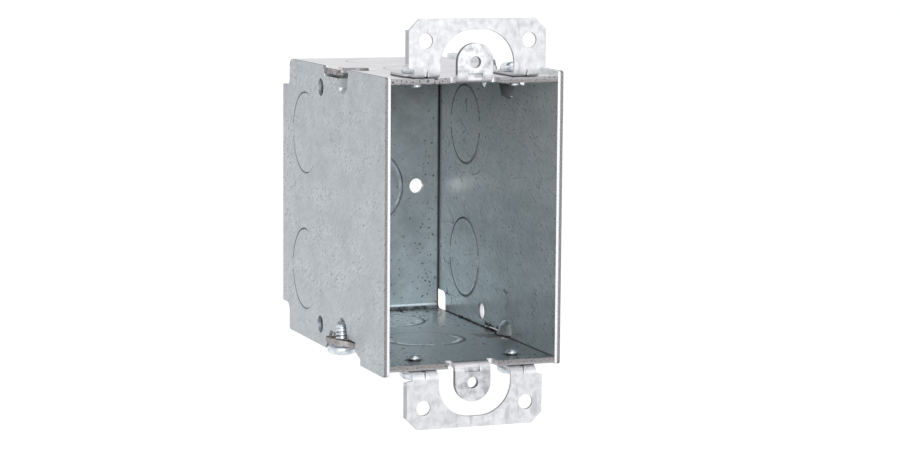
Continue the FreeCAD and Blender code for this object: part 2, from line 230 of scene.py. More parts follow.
# What every zinc finish shares. Pattern sizes and places are in millimetres here and below,
# and a pair of places runs from where a change starts to where it ends.
zinc = {
    "grain": 0.35,
    "cloud": 9.0,
    "speckEdge": 25.0,  # how sharply a speck starts
    # dark tone for painted shade in seams, joints, corners, hollows and under parts, and for dirt,
    # scratches and pits
    "shadeAndDirt": rgb(0.03, 0.031, 0.031),
    "speckTone": rgb(0.02, 0.02, 0.022),
}


def begin(name):
    board = Board(name)
    place, facing = board.coordinates()
    here = dict(zip(("x", "y", "z"), board.split(place)))
    here.update(zip(("nx", "ny", "nz"), board.split(facing)))
    here["place"] = place
    here["grain"] = board.noise(place, zinc["grain"], detail=2.0)
    here["cloud"] = board.noise(place, zinc["cloud"], detail=4.0)
    return board, here  # here: the place, the facing and the patterns at a point


def spanned(value, span):  # 0 at the first place in mm, 1 at the second
    return value.ramp(span[0] * mm, span[1] * mm)


def within(value, span):  # 1 between two places in mm
    return (value > span[0] * mm) * (value < span[1] * mm)


def patterned(value, pattern):  # value between low and high, times its share
    low, high, share = pattern
    return value.ramp(low, high) * share


def specks(board, here, size, threshold):
    # bare and dirty pinpricks in the zinc; threshold falls where there are more
    dots = board.noise(here["place"], size, detail=1.0, rough=0.4)
    return ((dots - threshold) * zinc["speckEdge"]).held()


seam = {
    "nearSide": (4.0, -4.0),  # from the far side of the ring to the near one
    "shade": 1.3,
    "width": 0.3,
    "nearWidth": 0.25,
    "highlightPatchSize": 3.2,
    "wear": (0.40, 0.56),
    "lipInset": 0.75,
    "lipWidth": 0.4,
    "farLip": 0.35,
}


def seamMask(board, here, across, along, centre, spread=1.0):
    # painted shade along the edge of a sheared knock-out, wider on its near side, and a painted highlight
    # on its lip, broken into patches
    a = across - centre[0] * mm
    b = along - centre[1] * mm
    distance = (a * a + b * b) ** 0.5
    ties = abs(a) > box["knockoutTie"] * mm
    nearSide = spanned(b, seam["nearSide"])
    offset = abs(distance - box["knockoutRadius"] * mm)
    width = (seam["width"] + nearSide * seam["nearWidth"]) * mm
    dark = (seam["shade"] - offset / width).held() * ties
    worn = board.noise(here["place"], seam["highlightPatchSize"], detail=1.0).ramp(*seam["wear"])
    lip = distance.near((box["knockoutRadius"] - seam["lipInset"] * spread) * mm,
                        seam["lipWidth"] * spread * mm) * worn
    return dark, lip * (seam["farLip"] + nearSide * (1.0 - seam["farLip"]))


cutEdge = {
    "fleck": rgb(0.10, 0.095, 0.095),
    "fleckSpread": (0.36, 0.5),
    "smoothSpread": (0.3, 0.5),
    "platePale": rgb(0.77, 0.78, 0.805),
    "plateDull": rgb(0.25, 0.245, 0.25),
    "wallPale": rgb(0.31, 0.31, 0.32),
    "wallDull": rgb(0.27, 0.258, 0.262),
}


def cutColour(board, here, share, kind):
    # sheared band, then the duller torn band with its flecks
    dull, pale = cutEdge[kind + "Dull"], cutEdge[kind + "Pale"]
    torn = board.mix(here["grain"].ramp(*cutEdge["fleckSpread"]), cutEdge["fleck"], dull)
    smooth = board.mix(here["grain"].ramp(*cutEdge["smoothSpread"]) * 0.5 + 0.5, dull, pale)
    return board.mix(share, torn, smooth)


bodyLook = {
    # dark and light tones by place, then single tones
    "outside": (rgb(0.58, 0.57, 0.58), rgb(0.70, 0.69, 0.71)),
    # inside tones are painted shade and light: the back wall darker at the top, the floor brighter at the
    # back
    "backTop": (rgb(0.098, 0.110, 0.112), rgb(0.178, 0.198, 0.203)),
    "backLow": (rgb(0.235, 0.275, 0.297), rgb(0.385, 0.44, 0.475)),
    "floorFront": (rgb(0.245, 0.272, 0.28), rgb(0.35, 0.385, 0.397)),
    "floorBack": (rgb(0.82, 0.90, 0.93), rgb(0.96, 1.0, 1.0)),
    "tab": (rgb(0.34, 0.35, 0.37), rgb(0.70, 0.71, 0.73)),
    "tabRim": rgb(0.20, 0.20, 0.21),
    # painted highlight on the knock-outs' lips
    "lip": rgb(0.98, 1.0, 1.0),
    "slotTop": rgb(0.27, 0.265, 0.265),
    "slotLow": rgb(0.13, 0.13, 0.13),
    "lugTop": rgb(0.17, 0.145, 0.12),
    "lugCut": rgb(0.40, 0.375, 0.375),
    "lugBrown": rgb(0.15, 0.14, 0.135),
    # patterns in the zinc: low, high, share
    "cloud": (0.36, 0.64, 0.5),
    "streak": (0.3, 0.7, 0.12),
    "fine": (0.35, 0.65, 0.2),
    "spangle": 0.18,
    "tabCloud": (0.32, 0.55, 0.8),
    # sizes of patterns and of dirt
    "streakSize": 0.5,
    "streakStretch": (1.0, 14.0, 1.0),
    "fineSize": 1.1,
    "spangleSize": 3.0,
    "tabSpangle": (1.6, 0.3),  # size and share
    "tabCloudSize": 2.4,
    "raggedSize": 1.3,
    "bendSpread": (0.38, 0.56),
    "lugDirt": 1.2,
    "lugSpread": (0.42, 0.56),
    "speckSize": 0.8,
    "gritSize": 1.35,
    "gritStretch": (1.0, 2.8, 1.0),
    "nickSize": 0.6,
    # places
    "backReach": 3.2,
    "backFace": 80.0,
    "hollowStart": 3.7,
    "low": (26.0, -32.0),
    "deepY": (52.0, 82.0),
    "deepX": (20.0, -6.0),
    "tabDepth": 3.4,
    "bladeDepth": 3.0,
    "tabHalfWidth": 5.0,
    "plateJoint": (22.3, 22.75),
    "jointStart": 1.5,
    "bendHeight": (35.3, 35.6),
    "bendDepth": (84.4, 85.2),
    "grime": (2.9, 2.3),
    "legDepths": (-1.0, 0.9),
    "leftEnd": (-2.0, -8.0),
    "tabLow": ((0.0, -1.0), 0.3),
    "tabRight": ((1.0, 4.0), 0.2),
    # shares of the seams' painted shade and painted lip highlight
    "backRing": 0.25,
    "backLip": 0.4,
    "ringShade": 0.6,
    "ringOutside": 0.3,
    "lipSpread": 2.2,
    # where specks crowd: span, share
    "crowdY": ((45.0, 85.0), 0.095),
    "crowdAside": ((15.0, 22.0), 0.02),
    "crowdLeft": ((4.0, -16.0), 0.05),
    "crowdFront": ((6.0, 1.0), 0.03),
    "crowdBack": ((8.0, 21.0), 0.05),
    "crowdLow": 0.05,
    "speckLevel": 0.755,
    "gritLevel": 0.785,
    "gritEdge": 24.0,
    "nickLevel": 0.66,
    # shares of painted shade and of dirt
    "bendShade": (0.35, 0.6),
    "hollowShade": 0.3,
    "lugShade": 0.55,
    "hookShade": 0.4,
    "specked": 0.92,
    "grimed": 0.8,
    "nicked": 0.85,
    "nicksLeft": 0.35,
    # front edge: where its pale band starts and ends, over the sheet
    "upperBand": (0.45, 0.6),
    "lowerBand": (0.62, 0.8),
    "leftRise": 0.25,
    "lugBand": (0.34, 0.2),
    # roughness, metal and relief
    "rough": 0.34,
    "roughCloud": 0.10,
    "roughOutside": 0.12,
    "smoothInside": 0.04,
    "smoothFloor": 0.05,
    "roughSoil": 0.5,
    "metallic": 0.84,
    "dullSpeck": 0.95,
    "dullRing": 0.45,
    "farLeft": ((0.0, -18.0), 0.3, 0.2),  # duller floor: span, least, more
    "streakRelief": 0.15,
    "grainRelief": 0.3,
    "reliefHeight": 0.012,
    "reliefStrength": 0.6,
    "bevel": 0.2,
}


def bodyPlaces(board, here):
    # masks of the back wall, the inner faces and the tabs
    look = bodyLook
    x, y, z = here["x"], here["y"], here["z"]
    outward, aside = abs(z), abs(x)
    here.update({"outward": outward, "aside": aside})
    here["backWall"] = y > (box["depth"] - look["backReach"]) * mm
    inward = (here["nz"] * z) < -0.0001
    inward = inward.op("MAXIMUM", (here["ny"] < -0.3) * (y > look["backFace"] * mm))
    hollow = (outward < (box["wallInner"] + 0.6) * mm) * (y > look["hollowStart"] * mm)
    here["inside"] = inward * hollow.op("MAXIMUM", outward < (box["wallInner"] + 0.15) * mm)
    here["low"] = spanned(z, look["low"])
    here["deep"] = spanned(y, look["deepY"]) * spanned(x, look["deepX"])
    foot = (outward > (box["wallOuter"] - 0.1) * mm) * (y < look["tabDepth"] * mm)
    foot = foot * (aside < look["tabHalfWidth"] * mm)
    blade = (outward > (box["wallOuter"] + 0.6) * mm) * (y < look["bladeDepth"] * mm)
    here["tab"] = foot.op("MAXIMUM", blade)
    here["streak"] = board.noise(here["place"], look["streakSize"], look["streakStretch"],
                                 detail=2.0)


def bodyZinc(board, here):
    # plain zinc outside; inside, painted shade and light: darker than outside, the back wall shaded
    # towards the top, the floor lit brighter towards the back and the left
    look = bodyLook
    place = here["place"]
    share = (patterned(here["cloud"], look["cloud"]) + patterned(here["streak"], look["streak"])
             + board.cells(place, look["spangleSize"]) * look["spangle"]
             + patterned(board.noise(place, look["fineSize"]), look["fine"])).held()
    tones = []
    for pick in (0, 1):
        back = board.mix(here["low"], look["backTop"][pick], look["backLow"][pick])
        base = board.mix(here["deep"], look["floorFront"][pick], look["floorBack"][pick])
        tones.append(board.mix(here["backWall"], base, back))
    return board.mix(here["inside"], board.mix(share, *look["outside"]), board.mix(share, *tones))


def bodySeams(board, here, colour):
    look = bodyLook
    backWall, inside = here["backWall"], here["inside"]
    wall = (here["outward"] > (box["wallInner"] - 0.3) * mm) * (1.0 - backWall)
    rings, lips = seamMask(board, here, here["x"], here["z"], (box["backShift"], 0.0))
    rings = rings * backWall * look["backRing"]
    lips = lips * backWall * look["backLip"]
    for depth in box["wallKnockouts"]:
        ring, lip = seamMask(board, here, here["x"], here["y"], (0.0, depth), look["lipSpread"])
        rings = rings + ring * wall
        lips = lips + lip * wall
    here["rings"] = rings * (look["ringOutside"] + inside * (1.0 - look["ringOutside"]))
    here["lips"] = lips * inside
    # painted shade on the seams and a painted highlight on their lips
    colour = board.mix((here["rings"] * look["ringShade"]).held(), colour, zinc["shadeAndDirt"])
    return board.mix(here["lips"].held(), colour, look["lip"])


def bodyTabs(board, here, colour):
    # brighter and coarsely spangled
    look = bodyLook
    size, spangle = look["tabSpangle"]
    share = (board.cells(here["place"], size) * spangle
             + patterned(board.noise(here["place"], look["tabCloudSize"]), look["tabCloud"]))
    for value, key in ((here["z"], "tabLow"), (here["x"], "tabRight")):
        span, loss = look[key]
        share = share - spanned(value, span) * loss
    return board.mix(here["tab"], colour, board.mix(share.held(), *look["tab"]))


def bodyDirt(board, here, colour):
    # painted shade where the walls meet the plates, in the back bend and in the raised hollows; grime
    # round the screws, specks, and a painted shadow under the ear legs
    look = bodyLook
    x, y = here["x"], here["y"]
    place, inside, outward, aside = here["place"], here["inside"], here["outward"], here["aside"]
    floor = 1.0 - here["backWall"]
    # painted shade in the joints, the back bend and the hollows, broken up by noise in the bend
    joint = spanned(aside, look["plateJoint"]) * (y > look["jointStart"] * mm)
    bend = spanned(outward, look["bendHeight"]) * spanned(y, look["bendDepth"]) * inside
    ragged = board.noise(place, look["raggedSize"]).ramp(*look["bendSpread"])
    hollow = inside * (outward > (box["wallInner"] + 0.2) * mm)
    least, more = look["bendShade"]
    joints = joint + bend * (ragged * more + least) + hollow * look["hollowShade"]
    joints = joints.held() * inside
    colour = board.mix(joints, colour, zinc["shadeAndDirt"])

    crowd = 0.0
    for value, key in ((y, "crowdY"), (aside, "crowdAside"), (x, "crowdLeft"), (y, "crowdFront")):
        span, share = look[key]
        crowd = crowd + spanned(value, span) * share
    span, share = look["crowdBack"]
    crowd = (crowd * floor + here["low"] * look["crowdLow"]
             + here["backWall"] * spanned(x, span) * share)
    dots = specks(board, here, look["speckSize"], look["speckLevel"] - crowd * inside)
    grit = board.noise(place, look["gritSize"], look["gritStretch"], detail=1.5, rough=0.4)
    grit = ((grit - look["gritLevel"] + crowd) * look["gritEdge"]).held() * inside * floor
    dots = (dots * (1.0 - here["tab"])).op("MAXIMUM", grit)
    colour = board.mix(dots * look["specked"], colour, zinc["speckTone"])

    a = aside - box["earScrew"][0] * mm
    b = y - box["earScrew"][1] * mm
    grime = spanned((a * a + b * b) ** 0.5, look["grime"]) * ragged * inside * look["grimed"]
    colour = board.mix(grime, colour, zinc["shadeAndDirt"])
    here["soil"] = (joints + dots * look["dullSpeck"] + here["rings"] * look["dullRing"]
                    + grime).held()

    # painted shadow on the wall's front edge under the ear legs
    shadeUnderLegs = (outward > (box["wallOuter"] - 0.02) * mm) * within(y, look["legDepths"])
    shadeUnderLegs = shadeUnderLegs * within(aside, box["legs"]) * (1.0 - here["tab"])
    return board.mix(shadeUnderLegs, colour, zinc["shadeAndDirt"])


def bodyEdges(board, here, colour):
    # cut faces of the slots, painted dark as shade, of the lugs, the tabs and the front
    look = bodyLook
    x, y, z, ny, nz = [here[key] for key in ("x", "y", "z", "ny", "nz")]
    outward, aside = here["outward"], here["aside"]
    # painted shade: slot faces dark, darker in the lower wall
    inSlot = within(y, box["slotDepths"]) * (abs(nz) < 0.4)
    inSlot = inSlot * within(aside, (box["slotReach"], box["halfWidth"] + 0.02))
    inSlot = inSlot * (outward > (box["wallInner"] - 0.7) * mm)
    colour = board.mix(inSlot, colour, board.mix(z < 0.0, look["slotTop"], look["slotLow"]))

    beyond = aside > (box["halfWidth"] + 0.03) * mm
    dirty = board.noise(here["place"], look["lugDirt"], (1.0, 1.0, 0.5))
    dirty = dirty.ramp(*look["lugSpread"])
    shade = look["lugShade"] + (z * x < 0.0) * look["hookShade"]
    brown = board.mix(dirty * shade, look["lugCut"], look["lugBrown"])
    reach, rise = box["lugRise"]
    turned = z * x.op("SIGN")  # the lugs are at the positive end
    climb = (aside * 1000.0 - box["halfWidth"]) * (rise / reach)
    level = (box["wallInner"] - climb - turned * 1000.0) * (1.0 / box["sheet"])
    lit = (turned > 0.0) * level.ramp(*look["lugBand"])
    brown = board.mix(lit, brown, cutEdge["wallPale"])
    colour = board.mix(beyond * (abs(nz) < 0.5), colour, brown)
    colour = board.mix(beyond * (nz * z < -0.02) * dirty, colour, look["lugTop"])
    tabRim = here["tab"] * (abs(ny) < 0.3) * (outward > (box["wallOuter"] + 0.7) * mm)
    colour = board.mix(tabRim, colour, look["tabRim"])

    front = (ny < -0.7) * (outward < (box["wallOuter"] + 0.05) * mm) * (y < 0.3 * mm)
    above = (z * 1000.0 - box["wallInner"]) * (1.0 / box["sheet"])
    below = (-z * 1000.0 - box["wallInner"]) * (1.0 / box["sheet"])
    upper = z > 0.0
    leftEnd = spanned(x, look["leftEnd"]) * look["leftRise"]
    bright = (upper * (above + leftEnd).ramp(*look["upperBand"])
              + (1.0 - upper) * below.ramp(*look["lowerBand"]))
    colour = board.mix(front * (aside > (look["tabHalfWidth"] - 0.05) * mm), colour,
                       cutColour(board, here, bright, "wall"))
    nicks = specks(board, here, look["nickSize"], look["nickLevel"] - upper * leftEnd * look["nicksLeft"])
    return board.mix(front * nicks * look["nicked"], colour, zinc["speckTone"])


def bodyFinish():
    board, here = begin("bodySteel")
    bodyPlaces(board, here)
    colour = bodyZinc(board, here)
    for layer in (bodySeams, bodyTabs, bodyDirt, bodyEdges):
        colour = layer(board, here, colour)
    look, inside, soil = bodyLook, here["inside"], here["soil"]
    floor = inside * (1.0 - here["backWall"])
    roughness = (look["rough"] + here["cloud"] * look["roughCloud"]
                 + (1.0 - inside) * look["roughOutside"] - floor * look["smoothFloor"]
                 - inside * look["smoothInside"] + soil * look["roughSoil"])
    height = here["streak"] * look["streakRelief"] + here["grain"] * look["grainRelief"]
    span, least, more = look["farLeft"]
    dull = floor * here["deep"] * (least + spanned(here["x"], span) * more)
    metallic = look["metallic"] - dull - here["lips"] - soil
    return board.metal(colour, roughness.held(), board.relief(height, look), metallic.held())


plateLook = {
    # dark and light tones by place, then single tones
    "outside": (rgb(0.385, 0.416, 0.44), rgb(0.58, 0.617, 0.642)),
    "insideTop": (rgb(0.66, 0.725, 0.735), rgb(0.99, 1.0, 1.0)),
    "insideLow": (rgb(0.44, 0.487, 0.50), rgb(0.78, 0.845, 0.86)),
    "lip": rgb(0.95, 0.98, 1.0),
    "scoop": rgb(0.055, 0.058, 0.058),
    "dent": rgb(0.22, 0.24, 0.255),
    "nailHoleLight": {-1: rgb(0.42, 0.46, 0.50), 0: rgb(0.16, 0.165, 0.17), 1: rgb(0.96, 0.96, 1.0)},
    "slugShaded": rgb(0.16, 0.165, 0.17),
    "slugLit": rgb(0.85, 0.88, 0.90),
    # patterns in the zinc: low, high, share
    "cloud": (0.35, 0.65, 0.32),
    "strokes": (0.38, 0.58, 0.43),
    "smudge": (0.42, 0.62, 0.25),
    # sizes of patterns and of dirt, and the brushing's slant in degrees
    "slant": 54.0,
    "brushSize": 0.42,
    "brushStretch": (1.0, 1.0, 6.0),
    "pitStretch": (1.0, 1.0, 2.5),
    "bandSize": 6.0,
    "bandStretch": (1.0, 4.0, 1.0),
    "scratches": ((15.0, (1, 1.0, 0.5)), (11.0, (1, 3.0, 0.6))),
    "scratchWidth": 0.005,
    "sparseSize": 5.0,
    "speckSize": 0.75,
    "speckLevel": 0.765,
    "burrDirt": 1.5,
    "burrSpread": (0.40, 0.52),
    "jointSize": 0.8,
    "jointSpread": (0.50, 0.62),
    # marks: spreads, and shares outside and inside
    "deepStrokes": (0.37, 0.29),
    "deepShare": (0.35, 0.5),
    "scratchShare": (0.05, 0.7),
    "sparse": (0.50, 0.58),
    "pits": (0.58, 0.68),
    "pitBand": (0.40, 0.60),
    "pitShare": (0.5, -0.2),
    "specked": 0.9,
    "crowdInside": 0.035,
    "crowdSmudge": 0.03,
    # shares of the seams' painted shade and painted lip highlight, and of the painted shade on the scoops
    # and in the dents
    "ringRear": 0.5,
    "ringInside": (0.62, -0.4),
    "lipShare": (0.15, 0.85),
    "scoopShare": (0.4, 0.2, 0.4),
    "dentShare": 0.5,
    # places
    "rearReach": 4.0,
    "slugReach": 2.0,
    "jointEnd": 84.0,
    "low": (22.0, -22.0),
    "scoopFade": (27.0, 34.0),
    "dentStart": 25.0,
    "upperBurr": (29.0, 38.5),
    "lowerBurr": (38.5, 50.0),
    "burrHeight": (34.0, 34.9),
    "dirtyDepth": (20.0, 50.0),
    "corner": (86.7, 87.1),
    "lugNotch": (49.0, 57.0),
    "lugNotchTop": 36.0,
    # cut rim: where its pale band ends, over the sheet
    "rimBand": (0.40, 0.52),
    "holeBand": (0.33, 0.50),
    # roughness, metal and relief
    "rough": 0.26,
    "roughCloud": 0.08,
    "roughStrokes": 0.05,
    "roughOutside": 0.16,
    "roughSoil": 0.4,
    "metallic": 0.82,
    "dullInside": 0.06,
    "dullHole": 0.5,
    "dullSoil": 0.8,
    "dullSpeck": 0.9,
    "dullScratch": 0.8,
    "dullPit": 0.5,
    "dullStroke": 0.6,
    "dullScoop": (0.25, 0.6),
    "strokesRelief": 0.25,
    "grainRelief": 0.2,
    "reliefHeight": 0.01,
    "reliefStrength": 0.6,
    "bevel": 0.2,
}


def plateZinc(board, here):
    look = plateLook
    share = (patterned(here["cloud"], look["cloud"]) + patterned(here["brushed"], look["strokes"])
             + patterned(here["band"], look["smudge"]))
    # inside, painted light: lighter than outside and lighter towards the top
    low = spanned(here["z"], look["low"])
    tones = [board.mix(low, look["insideTop"][pick], look["insideLow"][pick]) for pick in (0, 1)]
    return board.mix(here["inside"], board.mix(share, *look["outside"]), board.mix(share, *tones))


def plateSeams(board, here, side, colour):
    look = plateLook
    middle = box["plateKnockoutDepth"]
    seams = [seamMask(board, here, here["z"], here["y"], (-side * height, middle))
             for height in box["plateKnockoutHeights"]]
    rings = seams[0][0] + seams[1][0]
    lips = seams[0][1] + seams[1][1]
    # painted shade on the seams, stronger at the rear and inside, and a painted highlight on their lips
    rear = spanned(here["y"], (middle - look["rearReach"], middle + look["rearReach"]))
    least, more = look["ringInside"]
    here["rings"] = rings * (rear * look["ringRear"] + here["inside"] * (least + rear * more))
    least, more = look["lipShare"]
    here["lips"] = lips * (here["inside"] * more + least)
    colour = board.mix(here["rings"].held(), colour, zinc["shadeAndDirt"])
    return board.mix(here["lips"].held(), colour, look["lip"])


def plateMarks(board, here, colour):
    # scratches, strokes, pits and specks, mostly inside
    look = plateLook
    place, inside = here["place"], here["inside"]
    lines = [board.noise(place, size, stretch, detail=0.5).near(0.52, look["scratchWidth"])
             for size, stretch in look["scratches"]]
    sparse = board.noise(place, look["sparseSize"], detail=1.0).ramp(*look["sparse"])
    least, more = look["scratchShare"]
    scored = lines[0].op("MAXIMUM", lines[1]) * sparse * (least + inside * more)
    smudge = here["band"].ramp(*look["smudge"][:2])
    least, more = look["deepShare"]
    strokes = here["brushed"].ramp(*look["deepStrokes"]) * smudge * (least + inside * more)
    crowd = inside * (look["crowdInside"] + smudge * look["crowdSmudge"])
    dots = specks(board, here, look["speckSize"], look["speckLevel"] - crowd)
    pits = board.noise(here["slanted"], look["brushSize"], look["pitStretch"], detail=1.5)
    least, more = look["pitShare"]
    pits = pits.ramp(*look["pits"]) * here["band"].ramp(*look["pitBand"])
    pits = pits * (least + inside * more)
    here["marks"] = (dots * look["dullSpeck"] + scored * look["dullScratch"]
                     + pits * look["dullPit"] + strokes * inside * look["dullStroke"])
    colour = board.mix((scored + strokes + pits).held(), colour, zinc["shadeAndDirt"])
    return board.mix(dots * look["specked"], colour, zinc["speckTone"])


def plateDirt(board, here, side, colour):
    # painted shade on the pressed scoops and in the dents; the joints with the walls darkened, partly by
    # dirt and partly by painted shade
    look = plateLook
    x, y, z = here["x"], here["y"], here["z"]
    place, inside, outward = here["place"], here["inside"], here["outward"]
    # painted shade on the scoops' inner bulge, darkest on the upper scoop near the wall
    scoop = inside * (abs(x) < (box["halfWidth"] - 0.04) * mm)
    upper = z * side > 0.0
    fade = spanned(outward, look["scoopFade"])
    least, top, edge = look["scoopShare"]
    colour = board.mix(scoop * (least + upper * (top + fade * edge)), colour, look["scoop"])
    # painted shade in the outer hollow of the pressed dents
    dent = (1.0 - inside) * (abs(x) < (box["halfWidth"] + box["sheet"] - 0.04) * mm)
    dent = dent * (abs(here["nx"]) > 0.2) * (outward > look["dentStart"] * mm)
    colour = board.mix(dent * look["dentShare"], colour, look["dent"])

    wall = box["wallInner"]
    ragged = board.noise(place, look["burrDirt"]).ramp(*look["burrSpread"])
    torn = upper * within(y, look["upperBurr"]) + (1.0 - upper) * within(y, look["lowerBurr"])
    torn = torn * spanned(outward, look["burrHeight"]) * ragged
    # patchy dirt near the joints with the walls, a painted shadow line along the wall, painted shade in
    # the back corner, and dark torn burrs
    dirty = board.noise(place, look["jointSize"], detail=2.0).ramp(*look["jointSpread"])
    joint = spanned(outward, (wall - 0.7, wall - 0.2)) * dirty * spanned(y, look["dirtyDepth"])
    joint = joint * (outward < (wall + 0.2) * mm)
    joint = joint + outward.near(wall * mm, 0.35 * mm) * (y < look["jointEnd"] * mm)
    joints = (joint + spanned(y, look["corner"]) + torn).held() * inside
    least, more = look["dullScoop"]
    here["soil"] = (joints + here["marks"] + here["rings"]
                    + scoop * upper * (least + fade * more)).held()
    return board.mix(joints, colour, zinc["shadeAndDirt"])


def plateEdges(board, here, side, colour):
    # cut rim: pale band inside, torn band outside
    look = plateLook
    y, outward = here["y"], here["outward"]
    across = (here["x"] * (1000.0 * side) - box["halfWidth"]) * (1.0 / box["sheet"])
    outline = ((outward > box["notchRoof"] * mm) + (y < 0.1 * mm)
               + (y > box["cornerStep"] * mm)).held() * (across > -0.05)
    notch = within(y, look["lugNotch"]) * (outward < look["lugNotchTop"] * mm)
    outline = outline * (1.0 - notch)
    # painted light and shade: the knock-out's cut face light on its near side, dark on its far side
    middle = box["plateKnockoutDepth"]
    beyond = spanned(y, (middle - look["slugReach"], middle + look["slugReach"]))
    slug = board.mix(beyond, look["slugLit"], look["slugShaded"])
    # painted shade and light across the nail holes' cut faces, near white in the right plate
    hole = board.mix(across.ramp(*look["holeBand"]), look["nailHoleLight"][0], look["nailHoleLight"][side])
    cut = board.mix(within(y, box["nailHoles"]), slug, hole)
    bright = 1.0 - across.ramp(*look["rimBand"])
    cut = board.mix(outline, cut, cutColour(board, here, bright, "plate"))
    return board.mix(here["rim"], colour, cut)


def plateFinish(name, side):
    # side is -1 for the left plate and 1 for the right one
    board, here = begin(name)
    look = plateLook
    slanted = board.out(board.node("ShaderNodeVectorRotate", {"rotation_type": "X_AXIS"}, {
        "Vector": here["place"], "Angle": math.radians(look["slant"] * side)}))
    here["slanted"] = slanted
    here["brushed"] = board.noise(slanted, look["brushSize"], look["brushStretch"], rough=0.65)
    here["band"] = board.noise(here["place"], look["bandSize"], look["bandStretch"])
    here["inside"] = (here["nx"] * -side) > 0.2
    here["outward"] = abs(here["z"])
    here["rim"] = abs(here["nx"]) < 0.5
    colour = plateZinc(board, here)
    colour = plateSeams(board, here, side, colour)
    colour = plateMarks(board, here, colour)
    colour = plateDirt(board, here, side, colour)
    colour = plateEdges(board, here, side, colour)

    inside, soil = here["inside"], here["soil"]
    strokes = here["brushed"].ramp(*look["strokes"][:2])
    roughness = (look["rough"] + here["cloud"] * look["roughCloud"]
                 + strokes * look["roughStrokes"] + (1.0 - inside) * look["roughOutside"]
                 + soil * look["roughSoil"])
    height = strokes * look["strokesRelief"] + here["grain"] * look["grainRelief"]
    holeFace = here["rim"] * within(here["y"], box["nailHoles"]) * (side > 0)
    metallic = (look["metallic"] - inside * look["dullInside"] - here["lips"] * inside
                - holeFace * look["dullHole"] - soil * look["dullSoil"])
    return board.metal(colour, roughness.held(), board.relief(height, look), metallic.held())


earLook = {
    "dark": rgb(0.45, 0.46, 0.48),
    "light": rgb(0.655, 0.665, 0.685),
    "worn": rgb(0.38, 0.385, 0.40),
    "rim": rgb(0.46, 0.47, 0.485),
    "foot": rgb(0.10, 0.10, 0.105),
    "spangleSize": 1.7,
    "cloudSize": 1.8,
    "rubSize": 0.4,
    "rubStretch": (1.0, 3.0, 9.0),
    "wornSize": 2.0,
    "wornStretch": (1.0, 1.0, 3.5),
    "cloud": (0.34, 0.56, 0.5),
    "rub": (0.35, 0.6, 0.1),
    "wear": (0.60, 0.66, 0.5),
    "spangle": 0.3,
    "base": 0.1,
    "rimStart": 41.5,
    "footEnd": 38.15,
    "rough": 0.34,
    "roughCloud": 0.15,
    "roughSpangle": 0.08,
    "metallic": 0.82,
    "cloudRelief": 0.5,
    "rubRelief": 0.1,
    "spangleRelief": 0.15,
    "reliefHeight": 0.05,
    "reliefStrength": 0.6,
    "bevel": 0.15,
}


def earFinish():
    board, here = begin("earZinc")
    look = earLook
    place, outward = here["place"], abs(here["z"])
    spangle = board.cells(place, look["spangleSize"])
    cloud = board.noise(place, look["cloudSize"], detail=4.0)
    rub = board.noise(place, look["rubSize"], look["rubStretch"], detail=2.0)
    share = (spangle * look["spangle"] + patterned(cloud, look["cloud"])
             + patterned(rub, look["rub"]) + look["base"]).held()
    colour = board.mix(share, look["dark"], look["light"])
    worn = patterned(board.noise(place, look["wornSize"], look["wornStretch"]), look["wear"])
    colour = board.mix(worn, colour, look["worn"])
    rim = (abs(here["ny"]) < 0.45) * (outward > look["rimStart"] * mm)
    colour = board.mix(rim, colour, look["rim"])
    # painted shadow on the feet's lower rims, next to the wall
    foot = (outward < look["footEnd"] * mm) * (abs(here["nz"]) < 0.8)
    colour = board.mix(foot, colour, look["foot"])
    roughness = look["rough"] + cloud * look["roughCloud"] + spangle * look["roughSpangle"]
    height = (cloud * look["cloudRelief"] + rub * look["rubRelief"]
              + spangle * look["spangleRelief"])
    return board.metal(colour, roughness.held(), board.relief(height, look), look["metallic"])


screwLook = {
    "tones": (rgb(0.46, 0.52, 0.56), rgb(0.84, 0.89, 0.93)),
    "cloudSize": 1.2,
    "toneSpread": (0.3, 0.7),
    "rootShadeReach": 0.5,  # painted shade round the ear screws, where they come through the wall
    "rootShadeDepth": 12.0,
    "rootShadeShare": 1.3,
    "rough": 0.24,
    "roughGrain": 0.16,
    "metallic": 0.9,
    "reliefHeight": 0.03,
    "reliefStrength": 0.5,
    "bevel": 0.1,
}


def screwFinish():
    board, here = begin("screwZinc")
    look = screwLook
    cloud = board.noise(here["place"], look["cloudSize"])
    colour = board.mix(cloud.ramp(*look["toneSpread"]), *look["tones"])
    # painted shade round the screw where it leaves the wall
    root = abs(here["z"]).near((box["wallInner"] - 0.05) * mm, look["rootShadeReach"] * mm)
    root = root * (here["y"] < look["rootShadeDepth"] * mm)
    colour = board.mix((root * look["rootShadeShare"]).held(), colour, zinc["shadeAndDirt"])
    roughness = look["rough"] + here["grain"] * look["roughGrain"]
    normal = board.relief(here["grain"], look)
    return board.metal(colour, roughness.held(), normal, look["metallic"])


earZinc = earFinish()
screwZinc = screwFinish()
finishes = {
    "box_body": bodyFinish(),
    "left_side_plate": plateFinish("leftPlateSteel", -1),
    "right_side_plate": plateFinish("rightPlateSteel", 1),
    "upper_plaster_ear": earZinc,
    "lower_plaster_ear": earZinc,
}
for node, finish in finishes.items():
    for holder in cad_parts[node].material_slots:
        holder.material = finish
print("finishes made")


def meshObject(name, bm, finish):
    mesh = bpy.data.meshes.new(name)
    bm.to_mesh(mesh)
    bm.free()
    made = bpy.data.objects.new(name, mesh)
    bpy.context.scene.collection.objects.link(made)
    if finish:
        mesh.materials.append(finish)
    return made


# Second tie across the near side of each knock-out in the side plates
tie = {
    "steps": 8,
    "overlap": 0.12,  # into the slug and into the plate
}


